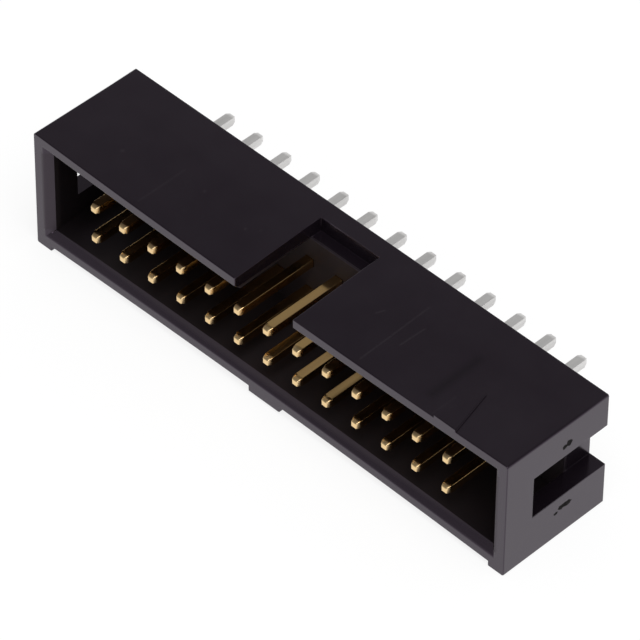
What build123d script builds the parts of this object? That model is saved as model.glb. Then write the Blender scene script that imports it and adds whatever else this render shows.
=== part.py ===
from build123d import *
import os

# Shrouded two-row pin header, lying on its lower long wall as it rests on a bench.
# X runs along the rows, +Y points from the open mouth to the board, +Z up through the slotted wall.
# The origin is the centre of the pin grid on the plane that seats on the board. Sizes in millimetres.
# Heights are measured from the board towards the mouth, so a height h lies at Y = -h.

# Pin grid
pitch = 2.54
row_pitch = 2.54
positions = 13
rows = 2

# Outside of the moulding
end_margin = 5.18
side_margin = 3.13
body_depth = 8.8
edge_round = 0.15
body_length = pitch * (positions - 1) + 2 * end_margin
body_height = row_pitch * (rows - 1) + 2 * side_margin

# Walls, cavity and mouth
base_thickness = 2.3
long_wall = 1.15
end_wall = 1.3
lead_in = 0.5
wall_bow = 0.32
wall_flare = 0.1
cavity_length = body_length - 2 * end_wall
cavity_height = body_height - 2 * long_wall

# Polarising slot through the upper long wall
slot_width = 5.0
slot_into_base = 0.95

# Window in each end wall, open to the board side and closed by a bridge at the rim.
# Its middle lies a little above the pin grid's.
window_height = 3.3
window_rise = 0.14
window_bridge = 2.42

# Ribs under the lower long wall, at its ends and in its middle
rib_height = 0.45
centre_rib_width = 2.7
rib_chamfer = 0.3

# Raised triangle on the slotted wall, with its base on the rim, that marks pin 1
mark_width = 1.76
mark_length = 3.6
mark_rise = 0.15

# Contact pins, coined to a slender point at the mouth and more bluntly at the tail
pin_width = 0.64
tip_setback = 0.1
tip_coin_length = 0.4
tip_coin_inset = 0.12
tail_length = 3.5
tail_coin_length = 0.3
tail_coin_inset = 0.1
swell_length = 1.1
swell_ramp = 0.25

# Square holes that the pins are pressed into
hole_clearance = 0.03
hole_entry = 0.12
hole_width = pin_width + 2 * hole_clearance

# Board side: a shallow recess between the walls, with standoffs between the two rows of pins
base_recess = 0.15
recess_border = 0.8
standoff_length = 1.6
standoff_gap = 0.2
standoff_count = 3
standoff_height = row_pitch - hole_width - 2 * (hole_entry + standoff_gap)
standoff_spacing = pitch * (positions - 3) / (standoff_count - 1)


# Plane across the rows at a height above the board, with X to the right and Z up
def level(height):
    return Plane.XZ.offset(height)


# Solid between two outlines, each a sketch at its own height
def ruled_solid(low_outline, low_height, high_outline, high_height):
    return loft([level(low_height) * low_outline, level(high_height) * high_outline], ruled=True)


# Inward bow of a long wall at the rim: a parabola that ends in the outward flare of the rounded ends.
# Two equal places give the bow there, and two unequal ones the control point between them.
def sag(first_x, second_x):
    half_span = body_length / 2 - edge_round
    return wall_bow * (1 - first_x * second_x / half_span**2) - wall_flare


# One stretch of a long wall's outline from one place to the next, at a share of the full bow
def bowed_edge(from_x, to_x, wall_z, share):
    inward = -share if wall_z > 0 else share
    return Bezier(
        (from_x, wall_z + inward * sag(from_x, from_x)),
        ((from_x + to_x) / 2, wall_z + inward * sag(from_x, to_x)),
        (to_x, wall_z + inward * sag(to_x, to_x)),
    )


# Right half of the moulding's outline: wall, rounded end, end rib, wall and half of the centre rib
def half_outline(share):
    end_x = body_length / 2
    corner_x = end_x - edge_round
    top_z = body_height / 2
    rib_z = -top_z - rib_height
    upper_wall = bowed_edge(0, corner_x, top_z, share)
    upper_corner = CenterArc((corner_x, top_z + share * wall_flare - edge_round), edge_round, 90, -90)
    lower_corner = CenterArc((corner_x, rib_z + edge_round), edge_round, 0, -90)
    lower_wall = bowed_edge(end_x - end_wall, centre_rib_width / 2, -top_z, share)
    centre_rib = bowed_edge(centre_rib_width / 2, 0, rib_z, share)
    end_face = Line(upper_corner @ 1, lower_corner @ 0)
    end_rib = Polyline(lower_corner @ 1, (end_x - end_wall, rib_z), lower_wall @ 0)
    rib_side = Line(lower_wall @ 1, centre_rib @ 0)
    middle = Line(centre_rib @ 1, upper_wall @ 0)
    upper_edges = [upper_wall, upper_corner, end_face, lower_corner]
    lower_edges = [end_rib, lower_wall, rib_side, centre_rib, middle]
    return make_face(upper_edges + lower_edges)


# Outline of the cavity, grown outwards by a margin, at a share of the full bow
def cavity_outline(share, margin):
    end_x = cavity_length / 2 + margin
    top_z = cavity_height / 2 + margin
    upper_wall = bowed_edge(-end_x, end_x, top_z, share)
    lower_wall = bowed_edge(end_x, -end_x, -top_z, share)
    right_end = Line(upper_wall @ 1, lower_wall @ 0)
    left_end = Line(lower_wall @ 1, upper_wall @ 0)
    return make_face([upper_wall, right_end, lower_wall, left_end])


# Straight base block with the shroud above it, whose long walls bow in towards the rim
def outer_body():
    base = extrude(level(0) * half_outline(0), base_thickness)
    shroud = ruled_solid(half_outline(0), base_thickness, half_outline(1), body_depth)
    right_half = base + shroud
    return right_half + mirror(right_half, about=Plane.YZ)


# Wedge that slants the board ends of the ribs
def rib_slant():
    rib_z = -body_height / 2 - rib_height
    wedge = Polygon((0, rib_z), (-rib_chamfer, rib_z), (0, rib_z + rib_chamfer), align=None)
    return extrude(Plane.YZ.offset(-body_length / 2) * wedge, body_length)


# Raised triangle over pin 1, rooted in the middle of the slotted wall
def pin_one_mark():
    point_x = pitch * (positions - 1) / 2
    triangle = Polygon(
        (point_x - mark_width / 2, -body_depth),
        (point_x + mark_width / 2, -body_depth),
        (point_x, mark_length - body_depth),
        align=None,
    )
    return extrude(Plane.XY.offset((body_height - long_wall) / 2) * triangle, long_wall / 2 + mark_rise)


# Space inside the shroud, widened at the mouth by a slanted lead-in
def cavity():
    lead_height = body_depth - lead_in
    lead_share = (lead_height - base_thickness) / (body_depth - base_thickness)
    bore = ruled_solid(cavity_outline(0, 0), base_thickness, cavity_outline(1, 0), body_depth)
    mouth = ruled_solid(cavity_outline(lead_share, 0), lead_height, cavity_outline(1, lead_in), body_depth)
    return bore + mouth


# Polarising slot: through the upper wall, and on into the base as a notch as deep as that wall
def polarising_slot():
    opening = level(base_thickness) * Pos(0, body_height / 4) * Rectangle(slot_width, body_height / 2)
    notch_z = (body_height - long_wall) / 2
    notch = level(base_thickness) * Pos(0, notch_z) * Rectangle(slot_width, long_wall)
    return extrude(opening, body_depth - base_thickness) + extrude(notch, -slot_into_base)


# Windows through both end walls, from the board side up to the bridge at the rim
def end_windows():
    wall_x = (body_length - end_wall) / 2
    outline = level(0) * Pos(0, window_rise) * Rectangle(end_wall, window_height)
    window = extrude(outline, body_depth - window_bridge)
    return [Pos(x, 0, 0) * window for x in (-wall_x, wall_x)]


# Shallow recess of the base, which leaves the walls and a spine of standoffs to sit on the board
def board_recess():
    floor = Rectangle(cavity_length - 2 * recess_border, cavity_height)
    standoff_places = GridLocations(standoff_spacing, 0, standoff_count, 1)
    standoffs = standoff_places * Rectangle(standoff_length, standoff_height)
    return extrude(level(0) * (floor - standoffs), base_recess)


# Places of the pins, as moves from the origin
def pin_places():
    grid = GridLocations(pitch, row_pitch, positions, rows)
    return [Pos(place.position.X, 0, place.position.Y) for place in grid]


# Square holes through the base, each with a slanted entry on the board side
def pin_holes():
    entry_width = hole_width + 2 * hole_entry
    wide = Rectangle(entry_width, entry_width)
    narrow = Rectangle(hole_width, hole_width)
    through = extrude(level(base_recess) * narrow, base_thickness - base_recess)
    hole = through + ruled_solid(wide, base_recess, narrow, base_recess + hole_entry)
    return [place * hole for place in pin_places()]


# The one black moulding that carries every pin
def housing():
    body = outer_body() - rib_slant() + pin_one_mark()
    shell = body - cavity() - polarising_slot() - end_windows()
    return shell - board_recess() - pin_holes()


# One square pin: coined tips at both ends, and a swell that bites in the base
def contact_pin():
    swell_start = (base_recess + base_thickness - swell_length) / 2
    swell_end = swell_start + swell_length
    tip_end = body_depth - tip_setback
    tip_width = pin_width - 2 * tip_coin_inset
    tail_width = pin_width - 2 * tail_coin_inset
    sections = [
        (-tail_length, tail_width, tail_width),
        (tail_coin_length - tail_length, pin_width, pin_width),
        (swell_start, pin_width, pin_width),
        (swell_start + swell_ramp, hole_width, pin_width),
        (swell_end - swell_ramp, hole_width, pin_width),
        (swell_end, pin_width, pin_width),
        (tip_end - tip_coin_length, pin_width, pin_width),
        (tip_end, tip_width, tip_width),
    ]
    outlines = [level(height) * Rectangle(width_x, width_z) for height, width_x, width_z in sections]
    return loft(outlines, ruled=True)


# Pin 1 is at the right-hand end of the row by the slot, pin 2 is below it, and so on along the rows
def pin_number(place):
    column = round(((positions - 1) / 2) - place.position.X / pitch)
    row = 0 if place.position.Z > 0 else 1
    return column * rows + row + 1


os.makedirs("parts", exist_ok=True)
export_step(housing(), "parts/housing.step")
pin = contact_pin()
for place in pin_places():
    export_step(place * pin, f"parts/pin_{pin_number(place):02d}.step")
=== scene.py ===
import math
import random

import bmesh
import bpy
from mathutils import Matrix, Vector


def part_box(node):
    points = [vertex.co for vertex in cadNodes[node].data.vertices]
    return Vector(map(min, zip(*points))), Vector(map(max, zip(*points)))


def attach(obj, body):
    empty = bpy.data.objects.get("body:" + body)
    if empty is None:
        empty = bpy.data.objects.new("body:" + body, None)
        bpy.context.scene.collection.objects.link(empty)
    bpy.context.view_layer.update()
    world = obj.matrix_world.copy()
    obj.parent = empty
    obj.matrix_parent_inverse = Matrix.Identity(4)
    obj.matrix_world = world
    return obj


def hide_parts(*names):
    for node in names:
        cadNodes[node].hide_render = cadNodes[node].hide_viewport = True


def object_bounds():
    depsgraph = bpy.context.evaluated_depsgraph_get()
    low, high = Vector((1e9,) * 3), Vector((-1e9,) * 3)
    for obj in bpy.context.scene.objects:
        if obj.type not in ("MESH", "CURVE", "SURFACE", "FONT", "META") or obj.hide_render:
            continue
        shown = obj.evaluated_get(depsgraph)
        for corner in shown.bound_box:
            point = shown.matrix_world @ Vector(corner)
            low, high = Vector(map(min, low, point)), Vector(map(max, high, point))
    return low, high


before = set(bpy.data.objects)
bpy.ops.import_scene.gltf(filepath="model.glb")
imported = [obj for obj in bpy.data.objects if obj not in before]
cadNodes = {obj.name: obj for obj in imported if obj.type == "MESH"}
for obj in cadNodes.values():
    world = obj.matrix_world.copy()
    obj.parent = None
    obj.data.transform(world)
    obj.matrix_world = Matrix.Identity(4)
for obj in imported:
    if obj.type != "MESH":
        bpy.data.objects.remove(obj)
cadBox = [list(corner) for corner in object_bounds()]
mm = 0.001
white = (1, 1, 1, 1)
print("frame loaded:", len(cadNodes), "nodes")


# A node with its settings and inputs in one call; an input may be a value or another node's output
def addNode(tree, kind, inputs=None, **settings):
    node = tree.nodes.new(kind)
    for name, value in settings.items():
        setattr(node, name, value)
    for socket, value in (inputs or {}).items():
        if isinstance(value, bpy.types.NodeSocket):
            tree.links.new(value, node.inputs[socket])
        else:
            node.inputs[socket].default_value = value
    return node


def mathNode(tree, operation, *values, **settings):
    inputs = dict(enumerate(values))
    return addNode(tree, "ShaderNodeMath", inputs, operation=operation, **settings).outputs[0]


# Gives a vector as "Vector" and a plain number, such as a distance, as "Value"
def vectorNode(tree, operation, *values):
    inputs = dict(enumerate(values))
    return addNode(tree, "ShaderNodeVectorMath", inputs, operation=operation).outputs


# A value carried from one range to another, and held at its ends
def ranged(tree, value, low, high, toLow=0.0, toHigh=1.0):
    return addNode(tree, "ShaderNodeMapRange", {
        "Value": value, "From Min": low, "From Max": high, "To Min": toLow, "To Max": toHigh}).outputs[0]


def noiseNode(tree, place, scale, detail, roughness):
    return addNode(tree, "ShaderNodeTexNoise", {
        "Vector": place, "Scale": scale, "Detail": detail, "Roughness": roughness}).outputs[0]


def axesOf(tree, vector):
    return addNode(tree, "ShaderNodeSeparateXYZ", {0: vector}).outputs


# A Mix node has its own pair of sockets for each kind of value: 6 and 7 are colours, 2 and 3 are numbers
def mixColour(tree, share, first, second):
    return addNode(tree, "ShaderNodeMix", {0: share, 6: first, 7: second}, data_type="RGBA").outputs[2]


def mixValue(tree, share, first, second):
    return addNode(tree, "ShaderNodeMix", {0: share, 2: first, 3: second}).outputs[0]


# The strongest of several masks
def strongest(tree, masks):
    total = masks[0]
    for mask in masks[1:]:
        total = mathNode(tree, "MAXIMUM", total, mask)
    return total


def emptyGroup(name, inputs, outputs):
    group = bpy.data.node_groups.new(name, "ShaderNodeTree")
    for socketName, kind, value in inputs:
        socket = group.interface.new_socket(socketName, in_out="INPUT", socket_type=kind)
        if value is not None:
            socket.default_value = value
    for socketName, kind in outputs:
        group.interface.new_socket(socketName, in_out="OUTPUT", socket_type=kind)
    return group, group.nodes.new("NodeGroupInput").outputs, group.nodes.new("NodeGroupOutput").inputs


grainLook = {"grainDetail": 2.0, "grainRoughness": 0.6, "mottleDetail": 4.0, "mottleRoughness": 0.55}


# Fine surface texture: a soft mottle and a small grain, which Stretch draws out along one axis
def makeGrainGroup(look):
    group, given, result = emptyGroup("fineGrain", [
        ("Vector", "NodeSocketVector", None),
        ("Stretch", "NodeSocketVector", (1, 1, 1)),
        ("Grain Scale", "NodeSocketFloat", 10000.0),
        ("Mottle Scale", "NodeSocketFloat", 1000.0),
    ], [("Grain", "NodeSocketFloat"), ("Mottle", "NodeSocketFloat")])
    place = vectorNode(group, "MULTIPLY", given["Vector"], given["Stretch"])["Vector"]
    grain = noiseNode(group, place, given["Grain Scale"], look["grainDetail"], look["grainRoughness"])
    mottle = noiseNode(group, place, given["Mottle Scale"], look["mottleDetail"], look["mottleRoughness"])
    group.links.new(grain, result["Grain"])
    group.links.new(mottle, result["Mottle"])
    return group


# An edge is rubbed where its rounded normal leaves the true one: not at all at the cosine "flat" between
# them, and fully at the cosine "edge". Patches of noise break this up.
wearLook = {
    "samples": 6,
    "flat": 0.995,
    "edge": 0.86,
    "patchDetail": 3.0,
    "patchRoughness": 0.5,
    "patchLow": 0.4,
    "patchHigh": 0.62,
}


def makeWearGroup(look):
    group, given, result = emptyGroup("edgeWear", [
        ("Vector", "NodeSocketVector", None),
        ("Radius", "NodeSocketFloat", 0.1 * mm),
        ("Patch Scale", "NodeSocketFloat", 1000.0),
    ], [("Mask", "NodeSocketFloat")])
    rounding = addNode(group, "ShaderNodeBevel", {"Radius": given["Radius"]}, samples=look["samples"])
    normal = group.nodes.new("ShaderNodeNewGeometry").outputs["Normal"]
    agreement = vectorNode(group, "DOT_PRODUCT", rounding.outputs[0], normal)["Value"]
    edge = ranged(group, agreement, look["flat"], look["edge"])
    patches = noiseNode(
        group, given["Vector"], given["Patch Scale"], look["patchDetail"], look["patchRoughness"])
    broken = ranged(group, patches, look["patchLow"], look["patchHigh"])
    group.links.new(mathNode(group, "MULTIPLY", edge, broken), result["Mask"])
    return group


# A straight fine stroke from Start to End, faded to nothing at its own width
def makeStrokeGroup():
    group, given, result = emptyGroup("stroke", [
        ("Vector", "NodeSocketVector", None),
        ("Start", "NodeSocketVector", (0, 0, 0)),
        ("End", "NodeSocketVector", (0, 1, 0)),
        ("Width", "NodeSocketFloat", 0.1 * mm),
        ("Strength", "NodeSocketFloat", 1.0),
    ], [("Mask", "NodeSocketFloat")])
    along = vectorNode(group, "SUBTRACT", given["End"], given["Start"])["Vector"]
    reach = vectorNode(group, "SUBTRACT", given["Vector"], given["Start"])["Vector"]
    covered = vectorNode(group, "DOT_PRODUCT", reach, along)["Value"]
    whole = vectorNode(group, "DOT_PRODUCT", along, along)["Value"]
    share = mathNode(group, "DIVIDE", covered, whole, use_clamp=True)
    nearest = addNode(group, "ShaderNodeVectorMath", {0: along, "Scale": share}, operation="SCALE").outputs[0]
    gap = vectorNode(group, "DISTANCE", reach, nearest)["Value"]
    mask = ranged(group, gap, given["Width"], 0.0, 0.0, given["Strength"])
    group.links.new(mask, result["Mask"])
    return group


# A box with soft faces: one inside it, and nothing further out than Fade
def makeBoxGroup():
    group, given, result = emptyGroup("softBox", [
        ("Vector", "NodeSocketVector", None),
        ("Centre", "NodeSocketVector", (0, 0, 0)),
        ("Half Size", "NodeSocketVector", (mm, mm, mm)),
        ("Fade", "NodeSocketFloat", 0.1 * mm),
    ], [("Mask", "NodeSocketFloat")])
    offset = vectorNode(group, "SUBTRACT", given["Vector"], given["Centre"])["Vector"]
    away = vectorNode(group, "ABSOLUTE", offset)["Vector"]
    beyond = vectorNode(group, "SUBTRACT", away, given["Half Size"])["Vector"]
    furthest = strongest(group, list(axesOf(group, beyond)))
    group.links.new(ranged(group, furthest, given["Fade"], 0.0), result["Mask"])
    return group


grainGroup = makeGrainGroup(grainLook)
wearGroup = makeWearGroup(wearLook)
strokeGroup = makeStrokeGroup()
boxGroup = makeBoxGroup()
print("shader groups made")


def useGroup(tree, group, inputs):
    return addNode(tree, "ShaderNodeGroup", inputs, node_tree=group).outputs


# The strongest mask of a list of strokes given in millimetres
def strokeMask(tree, place, strokes):
    return strongest(tree, [useGroup(tree, strokeGroup, {
        "Vector": place, "Start": Vector(start) * mm, "End": Vector(end) * mm,
        "Width": width * mm, "Strength": strength})["Mask"] for start, end, width, strength in strokes])


# The mask of a box given in millimetres by its centre and half size
def boxMask(tree, place, box, fade):
    centre, halfSize = box
    return useGroup(tree, boxGroup, {
        "Vector": place, "Centre": Vector(centre) * mm,
        "Half Size": Vector(halfSize) * mm, "Fade": fade})["Mask"]


def emptyMaterial(name):
    material = bpy.data.materials.new(name)
    material.use_nodes = True
    tree = material.node_tree
    tree.nodes.clear()
    return material, tree, tree.nodes.new("ShaderNodeOutputMaterial")


def newMaterial(name):
    material, tree, output = emptyMaterial(name)
    shader = tree.nodes.new("ShaderNodeBsdfPrincipled")
    tree.links.new(shader.outputs[0], output.inputs["Surface"])
    place = tree.nodes.new("ShaderNodeTexCoord").outputs["Object"]
    return material, tree, shader, place


# Links what varies over each surface here: its colour, and the relief of its grain
def linkSurface(tree, shader, colour, grain, depth):
    relief = addNode(tree, "ShaderNodeBump", {"Height": grain, "Distance": depth}).outputs[0]
    tree.links.new(colour, shader.inputs["Base Color"])
    tree.links.new(relief, shader.inputs["Normal"])


# The moulding is smooth and dark outside. It is duller in the cavity and at the lead-in's two ends, and
# painted paler there, as painted light; the cavity's own copy reflects less, as painted shade. Lengths in the
# lists are millimetres. A dull box is its centre and half size.
# Scratches and bands of painted shade lie on the slotted wall, and each is a start, an end, a width and a
# strength.
plasticLook = {
    "colour": (0.0055, 0.0036, 0.0056, 1),
    "paler": (0.0085, 0.0064, 0.0086, 1),
    # Painted light: a paler colour for the cavity and the lead-in's ends, where little light reaches
    "inside": (0.0140, 0.0112, 0.0115, 1),
    "shaded": (0.0012, 0.0008, 0.0012, 1),
    "scratched": (0.032, 0.029, 0.032, 1),
    "tint": (0.96, 0.77, 1.0, 1),
    "roughness": 0.2,
    "roughnessSpread": 0.03,
    "roughnessMottle": (0.25, 0.75),
    "insideRoughness": 0.5,
    "ior": 1.58,
    # Painted shade: the cavity's copy of the plastic reflects less than the outside
    "cavityIor": 1.3,
    "grainScale": 9000.0,
    "grainDepth": 0.0012 * mm,
    "mottleScale": 420.0,
    "wearRadius": 0.09 * mm,
    "wearPatchScale": 900.0,
    "wornShare": 0.6,
    "blotchShare": 0.5,
    "blotchMottle": (0.3, 0.75),
    "dullBoxes": [
        ((0, -8.0, 0), (19.0, 5.75, 3.2)),
        ((0, -8.6, 0), (19.7, 0.6, 3.2)),
    ],
    "dullFade": 0.2 * mm,
    "topStart": 4.0 * mm,
    "scratches": [
        ((7.75, -8.3, 0), (7.71, -2.3, 0), 0.09, 0.4),
        ((8.66, -5.8, 0), (8.77, -3.8, 0), 0.09, 0.4),
        ((5.72, -4.9, 0), (5.94, -4.4, 0), 0.1, 0.4),
        ((14.06, -8.6, 0), (14.09, -6.6, 0), 0.07, 0.25),
        ((-11.5, -8.3, 0), (-11.46, -4.3, 0), 0.08, 0.3),
        ((-15.41, -5.92, 0), (-15.41, -5.88, 0), 0.16, 0.5),
        ((-9.22, -4.83, 0), (-9.22, -4.79, 0), 0.14, 0.5),
        ((-5.09, -5.35, 0), (-5.09, -5.31, 0), 0.14, 0.5),
        ((-4.31, -4.82, 0), (-4.31, -4.78, 0), 0.12, 0.4),
    ],
    "scratchGrain": (0.3, 0.5),
    # A dark band on the top: painted shade, in the shaded colour
    "paintedShadeBands": [
        ((12.9, -7.4, 0), (12.9, -3.5, 0), 0.55, 0.9),
    ],
}


def makePlastic(look, name, ior):
    material, tree, shader, place = newMaterial(name)
    grain = useGroup(tree, grainGroup, {
        "Vector": place, "Grain Scale": look["grainScale"], "Mottle Scale": look["mottleScale"]})
    wear = useGroup(tree, wearGroup, {
        "Vector": place, "Radius": look["wearRadius"], "Patch Scale": look["wearPatchScale"]})
    blotch = ranged(tree, grain["Mottle"], *look["blotchMottle"])
    blotch = mathNode(tree, "MULTIPLY", blotch, look["blotchShare"])
    pale = mathNode(tree, "MULTIPLY_ADD", wear["Mask"], look["wornShare"], blotch)
    inside = strongest(tree, [boxMask(tree, place, box, look["dullFade"]) for box in look["dullBoxes"]])
    onTop = mathNode(tree, "GREATER_THAN", axesOf(tree, place)[2], look["topStart"])
    flat = vectorNode(tree, "MULTIPLY", place, (1, 1, 0))["Vector"]
    # Painted shade: a dark band mixed into the top's colour
    paintedShadeBand = mathNode(tree, "MULTIPLY", strokeMask(tree, flat, look["paintedShadeBands"]), onTop)
    scratch = mathNode(tree, "MULTIPLY", strokeMask(tree, flat, look["scratches"]), onTop)
    scratch = mathNode(tree, "MULTIPLY", scratch, ranged(tree, grain["Grain"], *look["scratchGrain"]))
    colour = mixColour(tree, pale, look["colour"], look["paler"])
    # Painted light: the dull boxes take the paler inside colour
    colour = mixColour(tree, inside, colour, look["inside"])
    colour = mixColour(tree, paintedShadeBand, colour, look["shaded"])
    colour = mixColour(tree, scratch, colour, look["scratched"])
    roughness = ranged(
        tree, grain["Mottle"], *look["roughnessMottle"],
        look["roughness"] - look["roughnessSpread"], look["roughness"] + look["roughnessSpread"])
    roughness = mixValue(tree, inside, roughness, look["insideRoughness"])
    linkSurface(tree, shader, colour, grain["Grain"], look["grainDepth"])
    tree.links.new(roughness, shader.inputs["Roughness"])
    shader.inputs["IOR"].default_value = ior
    shader.inputs["Specular Tint"].default_value = look["tint"]
    return material


# Gold plate up to its border in the base, and tin plate on the tail. The coined tip is duller and paler.
pinLook = {
    "gold": (0.93, 0.62, 0.26, 1),
    "goldWorn": (0.86, 0.56, 0.25, 1),
    "tipGold": (0.88, 0.64, 0.34, 1),
    "tin": (0.79, 0.78, 0.77, 1),
    "tinDull": (0.67, 0.66, 0.65, 1),
    "goldMetallic": 1.0,
    "tinMetallic": 0.6,
    "platingEdge": -1.2 * mm,
    "platingBlend": 0.3 * mm,
    "tipStart": -8.3 * mm,
    "tipBlend": 0.15 * mm,
    "goldRoughness": 0.12,
    "tipRoughness": 0.28,
    "tinRoughness": 0.32,
    "drawnStretch": (1, 0.04, 1),
    "grainScale": 14000.0,
    "grainDepth": 0.0003 * mm,
    "mottleScale": 1800.0,
    "blotchMottle": (0.35, 0.7),
    "blotchRoughness": 0.06,
    "wearRadius": 0.05 * mm,
    "wearPatchScale": 2500.0,
}


def makePinMetal(look):
    material, tree, shader, place = newMaterial("plated_pin")
    grain = useGroup(tree, grainGroup, {
        "Vector": place, "Stretch": look["drawnStretch"],
        "Grain Scale": look["grainScale"], "Mottle Scale": look["mottleScale"]})
    wear = useGroup(tree, wearGroup, {
        "Vector": place, "Radius": look["wearRadius"], "Patch Scale": look["wearPatchScale"]})
    along = axesOf(tree, place)[1]
    tail = ranged(tree, along, look["platingEdge"], look["platingEdge"] + look["platingBlend"])
    tip = ranged(tree, along, look["tipStart"], look["tipStart"] - look["tipBlend"])
    blotch = ranged(tree, grain["Mottle"], *look["blotchMottle"])
    worn = strongest(tree, [blotch, wear["Mask"]])
    gold = mixColour(tree, worn, look["gold"], look["goldWorn"])
    gold = mixColour(tree, tip, gold, look["tipGold"])
    tin = mixColour(tree, worn, look["tin"], look["tinDull"])
    colour = mixColour(tree, tail, gold, tin)
    roughness = mixValue(tree, tip, look["goldRoughness"], look["tipRoughness"])
    roughness = mixValue(tree, tail, roughness, look["tinRoughness"])
    roughness = mathNode(tree, "MULTIPLY_ADD", blotch, look["blotchRoughness"], roughness)
    metallic = mixValue(tree, tail, look["goldMetallic"], look["tinMetallic"])
    linkSurface(tree, shader, colour, grain["Grain"], look["grainDepth"])
    tree.links.new(roughness, shader.inputs["Roughness"])
    tree.links.new(metallic, shader.inputs["Metallic"])
    return material


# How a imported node's mesh is merged to whole faces and its sharp edges are rounded
softening = {
    "weldDistance": 0.0005 * mm,
    "flatAngle": math.radians(0.08),
    "sharpAngle": math.radians(32),
    "segments": 3,
    "normalWeight": 100,
}


def mergedShell(nodeName):
    shell = bmesh.new()
    shell.from_mesh(cadNodes[nodeName].data)
    bmesh.ops.remove_doubles(shell, verts=shell.verts, dist=softening["weldDistance"])
    bmesh.ops.dissolve_limit(
        shell, angle_limit=softening["flatAngle"], verts=shell.verts, edges=shell.edges)
    return shell


# Rings cut round a shell at these places along Y, so that the rounding of its end edges stays there
def cutRings(shell, places):
    for along in places:
        bmesh.ops.bisect_plane(
            shell, geom=shell.verts[:] + shell.edges[:] + shell.faces[:],
            plane_co=(0, along, 0), plane_no=(0, 1, 0))
    return shell


# A shape made into an object of the scene, with its materials
def objectOf(shape, name, materials):
    mesh = bpy.data.meshes.new(name)
    shape.to_mesh(mesh)
    shape.free()
    for material in materials:
        mesh.materials.append(material)
    made = bpy.data.objects.new(name, mesh)
    bpy.context.scene.collection.objects.link(made)
    return made


# Puts the shell in the scene in its node's place; roundOf gives each sharp edge its own radius
def addSoftened(shell, nodeName, pieceName, materials, roundOf):
    weight = shell.edges.layers.float.new("bevel_weight_edge")
    sharp = [edge for edge in shell.edges
             if len(edge.link_faces) == 2 and edge.calc_face_angle() > softening["sharpAngle"]]
    rounds = {edge: roundOf(edge) for edge in sharp}
    widest = max(rounds.values())
    for edge, width in rounds.items():
        edge[weight] = width / widest
    piece = objectOf(shell, pieceName, materials)
    for face in piece.data.polygons:
        face.use_smooth = True
    rounding = piece.modifiers.new("edges", "BEVEL")
    rounding.limit_method = "WEIGHT"
    rounding.width = widest
    rounding.segments = softening["segments"]
    shading = piece.modifiers.new("shading", "WEIGHTED_NORMAL")
    shading.mode = "FACE_AREA"
    shading.weight = softening["normalWeight"]
    shading.keep_sharp = False
    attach(piece, "root")
    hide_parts(nodeName)
    return piece


# Edges of the moulding: rounder outside than within, and fine around the raised mark. The cavity's own faces,
# up to the lead-in, are those with their middle between its low and high corners.
housingEdges = {
    "outside": 0.055 * mm,
    "inside": 0.012 * mm,
    "mark": 0.006 * mm,
    "reach": 0.3 * mm,
    "markLow": (14.3 * mm, -8.9 * mm, 4.25 * mm),
    "markHigh": (16.2 * mm, -5.15 * mm, 4.6 * mm),
    "rings": (-8.7 * mm,),
    "cavityLow": (-19.2 * mm, -8.28 * mm, -3.35 * mm),
    "cavityHigh": (19.2 * mm, -2.2 * mm, 3.35 * mm),
}


def isWithin(place, low, high):
    return all(low[axis] <= place[axis] <= high[axis] for axis in range(3))


# Two shallow torn spots in the end wall, where the moulding came off its runner. Each is cut by a few uneven
# balls, given in millimetres by middle and half size. An edge within reach of a ball, or a margin further,
# is left sharp.
gateLook = {
    "spots": [
        ((20.42, -3.40, 2.76), (0.20, 0.27, 0.27)),
        ((20.42, -3.80, 2.66), (0.13, 0.20, 0.19)),
        ((20.42, -3.36, -2.47), (0.20, 0.38, 0.24)),
        ((20.42, -3.84, -2.46), (0.15, 0.30, 0.21)),
        ((20.42, -4.32, -2.68), (0.10, 0.19, 0.12)),
    ],
    "subdivisions": 2,
    "unevenness": 0.22,
    "seed": 11,
    "reach": 1.3,
    "margin": 0.1 * mm,
    "colour": (0.0085, 0.0075, 0.0075, 1),
    "paler": (0.016, 0.014, 0.014, 1),
    "roughness": 0.62,
    "ior": 1.3,
    "grainScale": 5000.0,
    "mottleScale": 5000.0 / 3,
    "grainDepth": 0.01 * mm,
}


def makeTornPlastic(look):
    material, tree, shader, place = newMaterial("torn_plastic")
    grain = useGroup(tree, grainGroup, {
        "Vector": place, "Grain Scale": look["grainScale"], "Mottle Scale": look["mottleScale"]})
    colour = mixColour(tree, grain["Mottle"], look["colour"], look["paler"])
    linkSurface(tree, shader, colour, grain["Grain"], look["grainDepth"])
    shader.inputs["Roughness"].default_value = look["roughness"]
    shader.inputs["IOR"].default_value = look["ior"]
    return material


def makeKnife(look):
    maker = random.Random(look["seed"])
    knife = bmesh.new()
    for middle, halfSize in look["spots"]:
        ball = bmesh.ops.create_icosphere(knife, subdivisions=look["subdivisions"], radius=1.0)
        for vert in ball["verts"]:
            swell = 1 + maker.uniform(-look["unevenness"], look["unevenness"])
            vert.co = Vector([
                (middle[axis] + halfSize[axis] * vert.co[axis] * swell) * mm for axis in range(3)])
    return knife


# The shell with the knife's forms cut away; the cut faces take the knife's material
def cutAway(shell, knifeShape, shellMaterial, knifeMaterial):
    body = objectOf(shell, "uncut", [shellMaterial])
    knife = objectOf(knifeShape, "knife", [knifeMaterial])
    cut = body.modifiers.new("cut", "BOOLEAN")
    cut.operation = "DIFFERENCE"
    cut.solver = "EXACT"
    cut.use_self = True
    cut.material_mode = "TRANSFER"
    cut.object = knife
    evaluated = body.evaluated_get(bpy.context.evaluated_depsgraph_get())
    result = bmesh.new()
    result.from_mesh(evaluated.to_mesh())
    evaluated.to_mesh_clear()
    for helper in (body, knife):
        mesh = helper.data
        bpy.data.objects.remove(helper)
        bpy.data.meshes.remove(mesh)
    return result


def isTorn(place, look):
    for middle, halfSize in look["spots"]:
        beyond = [abs(place[axis] - middle[axis] * mm) - halfSize[axis] * look["reach"] * mm
                  for axis in range(3)]
        if max(beyond) < look["margin"]:
            return True
    return False


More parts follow.
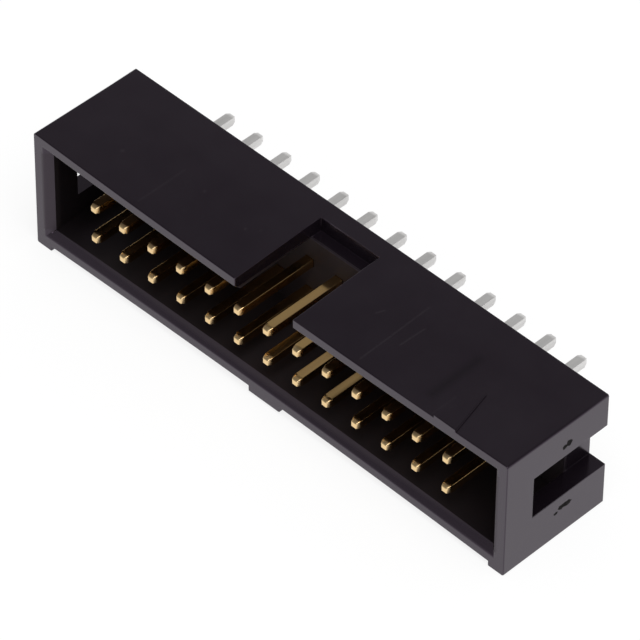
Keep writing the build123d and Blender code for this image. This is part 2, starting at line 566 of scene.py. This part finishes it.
def housingRound(edge):
    look = housingEdges
    low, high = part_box("housing")
    if all(isTorn(vert.co, gateLook) for vert in edge.verts):
        return 0.0
    if all(isWithin(vert.co, look["markLow"], look["markHigh"]) for vert in edge.verts):
        return look["mark"]
    middle = (edge.verts[0].co + edge.verts[1].co) / 2
    depth = min(min(middle[axis] - low[axis], high[axis] - middle[axis]) for axis in range(3))
    return look["outside"] if depth < look["reach"] else look["inside"]


def markCavity(shell, look, materialIndex):
    for face in shell.faces:
        if isWithin(face.calc_center_bounds(), look["cavityLow"], look["cavityHigh"]):
            face.material_index = materialIndex
    return shell


outerPlastic = makePlastic(plasticLook, "black_moulded_plastic", plasticLook["ior"])
tornPlastic = makeTornPlastic(gateLook)
# A copy of the plastic for the cavity, which reflects less as painted shade
cavityPlastic = makePlastic(plasticLook, "cavity_plastic", plasticLook["cavityIor"])
plastics = [outerPlastic, tornPlastic, cavityPlastic]
housingShell = cutAway(mergedShell("housing"), makeKnife(gateLook), outerPlastic, tornPlastic)
housingShell = cutRings(housingShell, housingEdges["rings"])
housingShell = markCavity(housingShell, housingEdges, plastics.index(cavityPlastic))
housing = addSoftened(
    housingShell, "housing", "housing_shell", plastics, housingRound)
print("housing softened:", len(housing.data.polygons), "faces before rounding")


# Edges of a pin: crisp along the drawn shaft, and well rounded where its ends are coined
pinEdges = {
    "shaft": 0.018 * mm,
    "tip": 0.095 * mm,
    "tail": 0.05 * mm,
    "tipStart": -8.29 * mm,
    "tailStart": 3.19 * mm,
    "rings": (-8.21 * mm, -8.24 * mm, 3.11 * mm, 3.14 * mm),
}


def pinRound(edge):
    along = [vert.co.y for vert in edge.verts]
    if max(along) < pinEdges["tipStart"]:
        return pinEdges["tip"]
    if min(along) > pinEdges["tailStart"]:
        return pinEdges["tail"]
    return pinEdges["shaft"]


pinMetal = makePinMetal(pinLook)
pinNames = [name for name in sorted(cadNodes) if name.startswith("pin_")]
for name in pinNames:
    pinShell = cutRings(mergedShell(name), pinEdges["rings"])
    addSoftened(pinShell, name, name + "_plated", [pinMetal], pinRound)
print("pins plated:", len(pinNames))


# The floor shows white to the eye and in reflections, keeps the header's shadow, and is clear from below
floorLook = {
    "size": 3.0,
    "gap": 0.003 * mm,
    "colour": (0.93, 0.93, 0.93, 1),
    "glow": 0.8,
    "strength": 1.05,
}


def makeFloor(look, height):
    material, tree, output = emptyMaterial("pale_floor")
    paint = addNode(tree, "ShaderNodeBsdfDiffuse", {"Color": look["colour"]}).outputs[0]
    glow = addNode(tree, "ShaderNodeEmission", {"Color": white, "Strength": look["strength"]}).outputs[0]
    clear = addNode(tree, "ShaderNodeBsdfTransparent", {"Color": white}).outputs[0]
    rays = tree.nodes.new("ShaderNodeLightPath").outputs
    seen = strongest(tree, [rays["Is Camera Ray"], rays["Is Glossy Ray"], rays["Is Transmission Ray"]])
    share = mathNode(tree, "MULTIPLY", seen, look["glow"])
    above = addNode(tree, "ShaderNodeMixShader", {0: share, 1: paint, 2: glow}).outputs[0]
    below = tree.nodes.new("ShaderNodeNewGeometry").outputs["Backfacing"]
    surface = addNode(tree, "ShaderNodeMixShader", {0: below, 1: above, 2: clear}).outputs[0]
    tree.links.new(surface, output.inputs["Surface"])
    plane = bmesh.new()
    bmesh.ops.create_grid(plane, x_segments=1, y_segments=1, size=look["size"] / 2)
    bmesh.ops.translate(plane, verts=plane.verts, vec=(0, 0, height))
    floor = objectOf(plane, "floor", [material])


makeFloor(floorLook, cadBox[0][2] - floorLook["gap"])


# The room: white where the camera looks past the floor, dimmer overhead for all that reflects it
roomLook = {"seen": 1.0, "fill": 0.45, "horizon": 0.9, "overhead": 0.12, "overheadStart": 0.8}


def makeRoom(look):
    world = bpy.data.worlds.new("studio")
    bpy.context.scene.world = world
    world.use_nodes = True
    tree = world.node_tree
    tree.nodes.clear()
    rays = tree.nodes.new("ShaderNodeLightPath").outputs
    direction = tree.nodes.new("ShaderNodeTexCoord").outputs["Generated"]
    upward = axesOf(tree, direction)[2]
    mirrored = ranged(tree, upward, 0.0, look["overheadStart"], look["horizon"], look["overhead"])
    strength = mixValue(tree, rays["Is Glossy Ray"], look["fill"], mirrored)
    strength = mixValue(tree, rays["Is Camera Ray"], strength, look["seen"])
    background = addNode(tree, "ShaderNodeBackground", {"Color": white, "Strength": strength})
    output = tree.nodes.new("ShaderNodeOutputWorld")
    tree.links.new(background.outputs[0], output.inputs["Surface"])


makeRoom(roomLook)


# One large soft lamp above the header's right, aimed at its middle
lampLook = {"place": (0.22, -0.10, 0.55), "size": 0.42, "power": 2.2}
lamp = bpy.data.lights.new("softbox", "AREA")
lamp.shape = "SQUARE"
lamp.size = lampLook["size"]
lamp.energy = lampLook["power"]
lampObject = bpy.data.objects.new("softbox", lamp)
lampObject.location = lampLook["place"]
lampObject.rotation_mode = "QUATERNION"
lampObject.rotation_quaternion = (-Vector(lampLook["place"])).to_track_quat("-Z", "Y")
bpy.context.scene.collection.objects.link(lampObject)
print("floor, room and lamp set")


# The photograph's viewpoint: a long lens from the front right, rolled a little
cameraLook = {
    "place": (175.994 * mm, -182.465 * mm, 245.498 * mm),
    "aim": (1.5237 * mm, -5.4528 * mm, 1.175 * mm),
    "roll": math.radians(0.5434),
    "lens": 320.854,
    "sensor": 36.0,
    "clipStart": 0.01,
}
cameraData = bpy.data.cameras.new("camera")
cameraData.lens = cameraLook["lens"]
cameraData.sensor_width = cameraLook["sensor"]
cameraData.clip_start = cameraLook["clipStart"]
camera = bpy.data.objects.new("camera", cameraData)
sight = Vector(cameraLook["aim"]) - Vector(cameraLook["place"])
turned = sight.to_track_quat("-Z", "Y").to_matrix() @ Matrix.Rotation(cameraLook["roll"], 3, "Z")
camera.matrix_world = Matrix.Translation(cameraLook["place"]) @ turned.to_4x4()
bpy.context.scene.collection.objects.link(camera)
bpy.context.scene.camera = camera
bpy.context.scene.view_settings.view_transform = "Standard"
